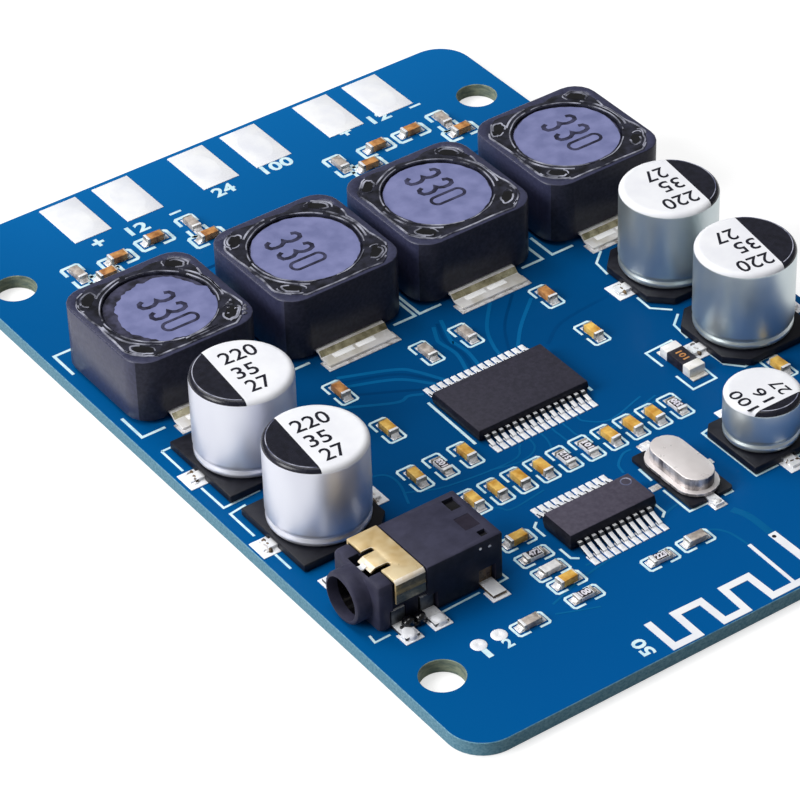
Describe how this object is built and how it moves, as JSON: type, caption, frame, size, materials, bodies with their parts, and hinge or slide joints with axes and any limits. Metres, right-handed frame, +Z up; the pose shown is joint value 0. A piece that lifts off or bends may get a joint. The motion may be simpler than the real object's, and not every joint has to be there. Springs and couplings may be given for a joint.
{
  "type": "audio amplifier board",
  "caption": "Blue stereo audio amplifier circuit board with shielded inductors, aluminium capacitors, gull-wing chips, a side-entry audio socket and a printed antenna.",
  "frame": {"origin": "centre of the board's outline on its underside, which is the plane Z = 0", "axes": "+Z up through the components, +X along the edge with the printed antenna, +Y towards the six terminal pads; the audio socket faces -X"},
  "size_m": [0.052, 0.0746, 0.0093],
  "materials": {
    "board_laminate": "glass-epoxy laminate under glossy blue solder mask",
    "ferrite": "satin charcoal ferrite",
    "winding": "enamelled copper wire",
    "tinned_lead": "bright tin",
    "can": "satin drawn aluminium with a printed top",
    "black_plastic": "matt black moulding",
    "chip_epoxy": "matt charcoal moulding epoxy",
    "gilt_spring": "gilt spring metal",
    "nickel_can": "satin nickel plate"
  },
  "bodies": {
    "root": {"circuit_board": "board_laminate", "inductor_1_shield": "ferrite", "inductor_1_drum": "ferrite", "inductor_1_winding": "winding", "inductor_1_terminal_front": "tinned_lead", "inductor_1_terminal_rear": "tinned_lead", "inductor_2_shield": "ferrite", "inductor_2_drum": "ferrite", "inductor_2_winding": "winding", "inductor_2_terminal_front": "tinned_lead", "inductor_2_terminal_rear": "tinned_lead", "inductor_3_shield": "ferrite", "inductor_3_drum": "ferrite", "inductor_3_winding": "winding", "inductor_3_terminal_front": "tinned_lead", "inductor_3_terminal_rear": "tinned_lead", "inductor_4_shield": "ferrite", "inductor_4_drum": "ferrite", "inductor_4_winding": "winding", "inductor_4_terminal_front": "tinned_lead", "inductor_4_terminal_rear": "tinned_lead", "capacitor_1_can": "can", "capacitor_1_base": "black_plastic", "capacitor_1_lead_positive": "tinned_lead", "capacitor_1_lead_negative": "tinned_lead", "capacitor_2_can": "can", "capacitor_2_base": "black_plastic", "capacitor_2_lead_positive": "tinned_lead", "capacitor_2_lead_negative": "tinned_lead", "capacitor_3_can": "can", "capacitor_3_base": "black_plastic", "capacitor_3_lead_positive": "tinned_lead", "capacitor_3_lead_negative": "tinned_lead", "capacitor_4_can": "can", "capacitor_4_base": "black_plastic", "capacitor_4_lead_positive": "tinned_lead", "capacitor_4_lead_negative": "tinned_lead", "capacitor_5_can": "can", "capacitor_5_base": "black_plastic", "capacitor_5_lead_positive": "tinned_lead", "capacitor_5_lead_negative": "tinned_lead", "amplifier_chip": "chip_epoxy", "wireless_chip": "chip_epoxy", "jack_housing": "black_plastic", "jack_clip": "gilt_spring", "jack_contact_1": "tinned_lead", "jack_contact_2": "tinned_lead", "jack_contact_3": "tinned_lead", "jack_contact_4": "tinned_lead", "jack_contact_5": "tinned_lead", "crystal_can": "nickel_can", "crystal_insulator": "black_plastic", "crystal_lead_front": "tinned_lead", "crystal_lead_rear": "tinned_lead", "protection_diode": "chip_epoxy"}
  },
  "joints": []
}
